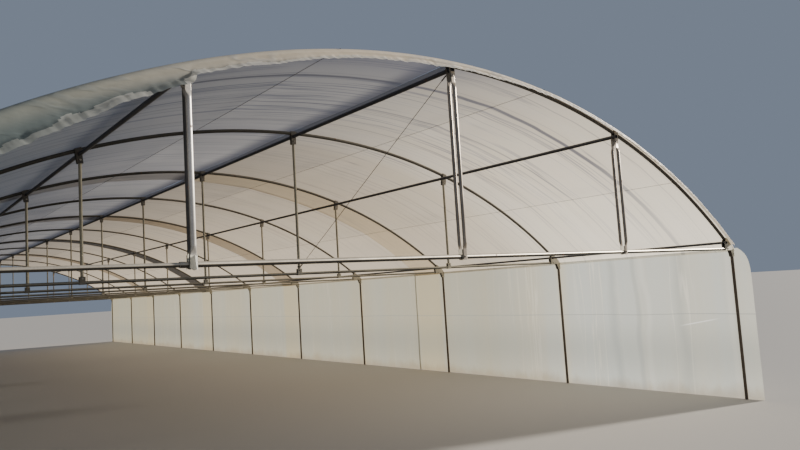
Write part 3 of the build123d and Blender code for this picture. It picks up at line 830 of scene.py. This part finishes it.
# plates and roof wires stay as they are and take their finish
keptNodes = {
    "roofPlate": ("ridge_brackets", "left_quarter_brackets", "right_quarter_brackets"),
    "pressedPlate": ("ridge_saddles", "left_saddles", "right_saddles", "left_eave_brackets",
                     "right_eave_brackets"),
    "drawnWire": ("left_roof_wires", "right_roof_wires"),
}
for finish, kept in keptNodes.items():
    for node in kept:
        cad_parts[node].data.materials.clear()
        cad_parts[node].data.materials.append(metal[finish])

# bolts through the brackets
bolt = {
    "across": 0.0085,
    "sides": 6,
    "chamfer": (0.8, 0.84),  # share of the depth where it starts, and of the width where it ends
    "head": 0.0065,
    "nut": 0.008,
    "washer": 0.0105,
    "washerThick": 0.0016,
    "washerSides": 14,
    "stub": 0.005,
    "stubRadius": 0.0045,
    "stubPoint": (0.0008, 0.0035),  # length and radius
    "stubSides": 10,
    "belowEave": 0.072,
    "fromCorner": 0.135,  # along the tie and along the hoop
    "belowPurlin": 0.042,
    "overTie": 0.026,
}


def addBolt(mesh, x, y, z, halfGrip):
    across, washer, thick = bolt["across"], bolt["washer"], bolt["washerThick"]
    chamferFrom, chamferTo = bolt["chamfer"]
    stub, radius = bolt["stub"], bolt["stubRadius"]
    point, pointRadius = bolt["stubPoint"]
    for facing, deep in ((-1, bolt["head"]), (1, bolt["nut"])):
        face = Vector((x, y + facing * halfGrip, z))
        ahead = Vector((0, facing, 0))
        addPipe(mesh, face, face + ahead, [(0, washer), (thick, washer)], bolt["washerSides"])
        seat = face + ahead * thick
        addPipe(mesh, seat, seat + ahead,
                [(0, across), (deep * chamferFrom, across), (deep, across * chamferTo)], bolt["sides"])
        if facing > 0:
            addPipe(mesh, seat + ahead * deep, seat + ahead,
                    [(0, radius), (stub, radius), (stub + point, pointRadius)], bolt["stubSides"])


mesh = ([], [])
hoopBolt = onArc(hoopRadius, footAngle - bolt["fromCorner"] / hoopRadius)
cornerBolts = ((halfSpan, eave - bolt["belowEave"]), (halfSpan - bolt["fromCorner"], eave),
               (hoopBolt.x, hoopBolt.z))
for y in framePlaces:
    atEnd = y in (nearEnd, farEnd)
    outer = cheekFace + 2 * (gap + pair["flatThick"]) if atEnd else cheekFace
    tieGrip = outer if atEnd else lightPipe + gap + tunnel["plate"]
    for side in (-1, 1):
        for x, z in cornerBolts:
            addBolt(mesh, side * x, y, z, cheekFace)
    for side in (-1, 0, 1):
        addBolt(mesh, side * quarter, y, purlinHeight(side) - mainPipe - bolt["belowPurlin"], outer)
        addBolt(mesh, side * quarter, y, eave + (0.0 if atEnd else lightPipe + bolt["overTie"]), tieGrip)
newPiece("bracketBolts", mesh, metal["boltZinc"], smoothTo=25)

# ridge braces: wire looped round the purlin, down to the next frame's king strut, and wound back on itself
brace = {
    "wire": 0.0030,
    "slack": 0.0006,
    "lower": 2.128,
    "pastCheek": 0.0065,
    "turns": 2,
    "turnSteps": 20,
    "turnPitch": 2.1,  # times the wire's radius, as are the next two
    "windRadius": 1.9,
    "windWire": 0.9,
    "windFrom": 0.02,
    "windTurns": 7,
    "windSteps": 10,
    "windPitch": 0.011,
    "windSides": 6,
    "spanShares": (0.02, 0.5, 0.98),
}


def addBrace(mesh, end, inward):
    wire = brace["wire"]
    turns = [2 * pi * i / brace["turnSteps"] for i in range(brace["turnSteps"] * brace["turns"] + 1)]
    pitch = brace["turnPitch"] * wire / (2 * pi)
    upperY = end + inward * (cheekFace + brace["pastCheek"] + wire)
    loop = mainPipe + brace["slack"] + wire
    points = [(loop * sin(turn), upperY + inward * pitch * turn, purlinHeight(0) - loop * cos(turn))
              for turn in turns]
    loop = lightPipe + brace["slack"] + wire
    lowerY = end + inward * bay
    upper = Vector(points[-1])
    lower = Vector((0, lowerY - inward * loop, brace["lower"]))
    points += [upper.lerp(lower, share) for share in brace["spanShares"]]
    points += [(loop * sin(turn), lowerY - inward * loop * cos(turn), brace["lower"] + pitch * turn)
               for turn in turns]
    addPath(mesh, points, wire)
    for start, ahead in ((upper, (lower - upper).normalized()), (lower, (upper - lower).normalized())):
        side = Vector((1, 0, 0))
        other = ahead.cross(side)
        wound = []
        for i in range(brace["windSteps"] * brace["windTurns"] + 1):
            turn = 2 * pi * i / brace["windSteps"]
            along = brace["windFrom"] + brace["windPitch"] * turn / (2 * pi)
            around = (side * cos(turn) + other * sin(turn)) * brace["windRadius"] * wire
            wound.append(start + ahead * along + around)
        addPath(mesh, wound, wire * brace["windWire"], brace["windSides"])


mesh = ([], [])
addBrace(mesh, nearEnd, 1)
addBrace(mesh, farEnd, -1)
newPiece("ridgeBraceWires", mesh, metal["drawnWire"], ["ridge_braces"])
print("bolts and braces are made")

# films: sheets as fine meshes, with tension creases across their length
seedSteps = (17.3, 5.1, 9.7)  # how far apart two seeds lie in the noise


def ripple(seed, *place):
    return noise.noise(Vector(place) + Vector([seed * step for step in seedSteps]))


def creased(seed, along, across):
    # sharp-topped ripples that vary quickly along the sheet and slowly across it
    broad = 1 - 2.2 * abs(ripple(seed, along, across, 0))
    return broad + 0.35 * (1 - 2 * abs(ripple(seed + 1, along * 2.7, across * 1.7, 3)))


def addSheet(mesh, columns, rows, point, turned=False):
    verts, faces = mesh
    first = len(verts)
    for i in range(columns + 1):
        for j in range(rows + 1):
            verts.append(point(i / columns, j / rows))
    for i in range(columns):
        for j in range(rows):
            a = first + i * (rows + 1) + j
            corners = (a, a + rows + 1, a + rows + 2, a + 1)
            faces.append(corners[::-1] if turned else corners)


def bump(away, width):
    # 1 in the middle, fading to 0 on both sides
    return exp(-(away / width) ** 2)


def inBayAt(y):
    # share of the bay passed, and the distance to its nearer frame
    share = ((y + halfLength) / bay) % 1
    return share, min(share, 1 - share) * bay


roof = {
    "pastEnd": 0.03,
    "lapRise": 0.0016,  # of a strip that lies over its neighbours
    "lapLift": (0.8, 0.6),  # shares of that rise, outward and up
    "lapWander": 0.05,  # how far a strip's edge leaves a straight line
    "tailX": 5.1308,
    "tailLow": 2.012,
    "tailInmost": -0.0005,
    "sag": 0.020,
    "sagVaries": (0.7, 0.5),  # its mean share and how much that changes
    "ripple": 0.0030,
    "rippleMiddle": 0.55,
    "rippleScale": (1.9, 0.22),  # along the tunnel and down the slope
    "wires": (1.275, 3.825),
    "wireHold": 0.16,  # how far from a wire, the eave and a hoop the film is held
    "eaveHold": 0.2,
    "hoopHold": 0.10,
    "calm": 0.8,  # how much of the ripple a wire or the eave takes away
    "flutter": 0.012,
    "flutterOut": 0.25,
    "hemWave": 0.006,
    "hemStart": 0.08,
    "step": 0.045,  # mesh step along the tunnel
    "rows": 62,
    "seed": 11,
}
tailAngle = asin(roof["tailX"] / filmRadius)
tailTop = hoopCentre + filmRadius * cos(tailAngle)
arcLength = filmRadius * tailAngle
slopeWidth = arcLength + tailTop - roof["tailLow"]


def roofPoint(side, y, down, seed):
    # down is the distance from the ridge over the film
    inBay, toHoop = inBayAt(y)
    if down <= arcLength:
        angle = down / filmRadius
        held = max(bump(filmRadius * sin(angle) - x, roof["wireHold"]) for x in roof["wires"])
        held = max(held, bump(down - arcLength, roof["eaveHold"]))
        along, across = roof["rippleScale"]
        sag = roof["sag"] * sin(pi * inBay) ** 2 * (1 - held)
        mean, change = roof["sagVaries"]
        crease = roof["ripple"] * (1 - bump(toHoop, roof["hoopHold"])) * (1 - roof["calm"] * held)
        lift = crease * (creased(seed, y * along, down * across) - roof["rippleMiddle"])
        lift -= sag * (mean + change * ripple(seed, y * 0.2, down * 0.3, 5))
        point = onArc(filmRadius + lift, angle, y)
    else:
        fall = down - arcLength
        flutter = roof["flutter"] * (ripple(seed, y * 1.4, fall * 2, 8) + roof["flutterOut"])
        flutter = max(flutter * min(1, fall / roof["hemStart"]), roof["tailInmost"])
        point = Vector((roof["tailX"] + flutter, y, tailTop - fall))
        point.z += roof["hemWave"] * (fall > roof["hemStart"]) * ripple(seed, y * 5, 0, 2)
    return Vector((side * point.x, point.y, point.z))


def roofSheet(name, side, start, end, seed, over, node):
    outward, up = [share * roof["lapRise"] * over for share in roof["lapLift"]]

    def point(u, v):
        down = slopeWidth * v
        low = start + roof["lapWander"] * ripple(start, down * 0.6, 0, 5) * (start > -halfLength)
        high = end + roof["lapWander"] * ripple(end, down * 0.6, 4, 5) * (end < halfLength)
        place = roofPoint(side, low + (high - low) * u, down, seed)
        return place + Vector((side * outward, 0, up))

    mesh = ([], [])
    addSheet(mesh, round((end - start) / roof["step"]), roof["rows"], point, side > 0)
    finish = film["leftRoofFilm" if side < 0 else "rightRoofFilm"]
    piece = newPiece(name, mesh, finish, [node], smoothTo=60)


roofEnd = halfLength + roof["pastEnd"]
stripStarts = [-roofEnd] + [middle - laps["half"] for middle in lapPlaces]
stripEnds = [middle + laps["half"] for middle in lapPlaces] + [roofEnd]
for label, side, node in (("left", -1, "left_roof_film"), ("right", 1, "right_roof_film")):
    for number, (start, end) in enumerate(zip(stripStarts, stripEnds), 1):
        over = 1 - number % 2  # every second strip lies over its neighbours
        roofSheet(f"{label}Roof{number}", side, start, end, roof["seed"] + side, over, node)
print("roof films are made")

# aprons: the loose edge of the roof film, folded over the end hoop and torn along its foot
apron = {
    # degrees from the ridge, and how far the film hangs there
    "hangs": ((-38.0, 0.260), (-27.8, 0.236), (-25.5, 0.233), (-23.4, 0.218), (-22.3, 0.188), (-20.9, 0.188),
              (-20.3, 0.176), (-19.3, 0.160), (-18.55, 0.160), (-18.2, 0.110), (-14.5, 0.112), (-11.0, 0.094),
              (-5.0, 0.092), (0.0, 0.080), (4.0, 0.076), (11.0, 0.060), (21.0, 0.044), (38.5, 0.020)),
    "ragged": ((1.7, 0.012), (11, 0.014), (31, 0.010)),  # how quick and how deep the torn foot's waves are
    "overhang": 0.07,
    "lie": 0.03,  # the part that lies on the roof film
    "lieOver": 0.0022,
    "bend": 0.042,  # radius over the film's end
    "bendShare": 0.6,  # at most this share of the hanging part
    "clear": 0.002,  # of the film's end
    "looseFrom": 0.3,  # share of the bend that stays tight
    "looseWithin": 0.06,
    "billow": 0.016,
    "waves": (0.6, 0.22),  # shares of the broad and the fine waves
    "hollow": 0.022,
    "lip": 0.85,  # how far the loose edge turns out, for each metre below where it starts
    "lipFrom": 0.74,
    "inmost": -0.03,
    "step": 0.012,
    "rows": 22,
    "rimRows": (4.5, 2.5),  # rows of the torn rim, and how much their number varies
    "shaded": (-20.7, -18.8),  # degrees between which the torn rim keeps the tone of the rest, without the lip's painted light
    "flatWidth": 0.25,
    "flatMean": 0.174,  # mean width of the sheet as it is torn
}


def hangAt(angle):
    angle = degrees(angle)
    table = apron["hangs"]
    for (a, low), (b, high) in zip(table, table[1:]):
        if angle <= b:
            return low + (high - low) * max(0.0, (angle - a) / (b - a))
    return table[-1][1]


def apronSheet(name, end, facing, seed, node):
    start, stop = radians(apron["hangs"][0][0]), radians(apron["hangs"][-1][0])
    width = filmRadius * (stop - start)
    rows = apron["rows"]
    (slow, sway), (quick, tooth), (quickest, nick) = apron["ragged"]
    broad, fine = apron["waves"]

    def point(u, v):
        angle = start + (stop - start) * u
        along = angle * filmRadius
        hang = hangAt(angle) + sway * ripple(seed, along * slow, 0, 1)
        hang += tooth * abs(ripple(seed, along * quick, 0, 4))
        hang += nick * max(0.0, ripple(seed, along * quickest, 0, 6))
        bend = min(apron["bend"], hang * apron["bendShare"])
        turn = bend * pi / 2
        reach = v * (apron["lie"] + turn + hang - bend) - apron["lie"]
        angleOver = max(0.0, min(pi / 2, reach / bend))
        out = min(0.0, reach) + bend * sin(angleOver)
        depth = bend * (1 - cos(angleOver)) + max(0.0, reach - turn)
        share = depth / hang
        loose = min(1.0, max(0.0, depth - apron["looseFrom"] * bend) / apron["looseWithin"])
        waves = broad * ripple(seed, along * 1.6, depth * 5, 2) + fine * ripple(seed, along * 6, depth * 9, 9)
        wave = loose * (apron["billow"] * waves - apron["hollow"] * sin(pi * share) ** 2)
        wave += apron["lip"] * hang * max(0.0, share - apron["lipFrom"])
        ahead = apron["overhang"] - bend + out + apron["clear"] + max(apron["inmost"], wave)
        return onArc(filmRadius + apron["lieOver"] - depth, angle, end + facing * ahead)

    mesh = ([], [])
    addSheet(mesh, round(width / apron["step"]), rows, point, facing < 0)
    piece = newPiece(name, mesh, film["looseFilm"], [node], smoothTo=70)
    piece.data.materials.append(film["lipFilm"])
    # the torn rim takes the lighter lip film, painted light, except between the shaded degrees
    low, high = [(radians(value) - start) / (stop - start) for value in apron["shaded"]]
    rimRows, varied = apron["rimRows"]
    for number, face in enumerate(piece.data.polygons):
        rim = number % rows > rows - rimRows + varied * ripple(seed, number / rows * 0.09, 0, 12)
        face.material_index = int(rim and not low < number / len(piece.data.polygons) < high)


apronSheet("nearApron", nearEnd, facing=-1, seed=21, node="near_film_apron")
apronSheet("farApron", farEnd, facing=1, seed=23, node="far_film_apron")
print("aprons are made")

# a torn scrap of film wrapped round the foot of the near left strut
scrap = {"low": 2.020, "high": 2.115, "halfX": 0.027, "halfY": 0.060, "turns": 1.06, "tear": 0.016,
         "puff": 0.2, "loose": (0.1, 0.03), "seed": 41, "columns": 70, "rows": 18, "flat": (0.31, 0.10)}


def scrapPoint(u, v):
    turn = 2 * pi * scrap["turns"] * u
    z = scrap["high"] + (scrap["low"] - scrap["high"]) * v
    z += scrap["tear"] * ripple(scrap["seed"], u * 9, 0, 3) * (1 if v < 0.5 else 1.5)
    below, around = scrap["loose"]  # how much looser it gets down and round the strut
    puff = 1 + scrap["puff"] * ripple(scrap["seed"] + 2, cos(turn) * 1.6, sin(turn) * 1.6, z * 9)
    puff += below * v * v + around * u
    x, y = scrap["halfX"] * puff * cos(turn), scrap["halfY"] * puff * sin(turn)
    return Vector((x - quarter, y + nearEnd, z))


mesh = ([], [])
addSheet(mesh, scrap["columns"], scrap["rows"], scrapPoint)
piece = newPiece("strutScrap", mesh, film["lipFilm"], smoothTo=70)

# wall films: hung outside the posts
wall = {
    "x": 5.1260,
    "top": 2.0545,
    "flare": 0.225,
    "flareWithin": 0.10,  # the end flares out within about this height under the eave
    "overhang": 0.07,
    "lapAt": -8.09,
    "lap": 0.04,
    "lapOver": 0.004,
    "billow": 0.030,
    "ripple": 0.006,
    "rippleMiddle": 0.6,
    "rippleScale": (2.6, 0.30),  # along the tunnel and up
    "rippleAtPost": 0.25,  # share of the ripple that a post leaves
    "postHold": 0.22,
    "inmost": (0.0022, 0.08),  # how far in the film may lie at a post, and how much more between posts
    "foldAt": 1.15,
    "foldDepth": 0.004,
    "foldHalf": 0.02,
    "foldWander": 0.03,
    "spareLength": 0.2,  # how much longer the flat sheet is than the hung one
    "heldPastEnd": 0.03,
    "hem": 0.001,  # height over the ground
    "step": 0.04,
    "rows": 50,
    "seeds": (31, 35),
}


def wallPoint(side, y, z, seed, outward):
    free = 1 - bump(inBayAt(y)[1], wall["postHold"])
    bulge = free * sin(pi * min(1.0, max(0.0, z / wall["top"])) ** 0.8)
    along, up = wall["rippleScale"]
    x = wall["x"] + outward + wall["billow"] * bulge * ripple(seed, y * 0.45, z * 0.5, 3)
    left = wall["rippleAtPost"] + (1 - wall["rippleAtPost"]) * free
    x += wall["ripple"] * (creased(seed, y * along, z * up) - wall["rippleMiddle"]) * left
    foldAt = wall["foldAt"] + wall["foldWander"] * ripple(seed, y * 0.4, 0, 7)
    x += wall["foldDepth"] * bump(z - foldAt, wall["foldHalf"])
    if abs(y) < halfLength + wall["heldPastEnd"]:
        atPost, between = wall["inmost"]
        x = max(x, wall["x"] - atPost - between * free)
    return Vector((side * x, y, z))


def wallSheet(name, side, start, end, seed, outward, node):
    height = wall["top"]

    def point(u, v):
        z = height * (1 - v)
        low, high = start, end
        flare = wall["flare"] - (wall["flare"] - wall["overhang"]) * exp(-(height - z) / wall["flareWithin"])
        if start < -halfLength:
            low = -halfLength - flare
        if end > halfLength:
            high = halfLength + flare
        return wallPoint(side, low + (high - low) * u, max(z, wall["hem"]), seed, outward)

    mesh = ([], [])
    addSheet(mesh, round((end - start) / wall["step"]), wall["rows"], point, side > 0)
    piece = newPiece(name, mesh, film["wallFilm"], [node], smoothTo=60)


wallEnd = halfLength + wall["flare"]
nearStop = wall["lapAt"] + wall["lap"]
nearSeed, farSeed = wall["seeds"]
for label, side, node in (("left", -1, "left_wall_film"), ("right", 1, "right_wall_film")):
    wallSheet(f"{label}WallNear", side, -wallEnd, nearStop, nearSeed + side, wall["lapOver"], node)
    wallSheet(f"{label}WallFar", side, wall["lapAt"], wallEnd, farSeed + side, 0.0, node)
print("wall films are made")
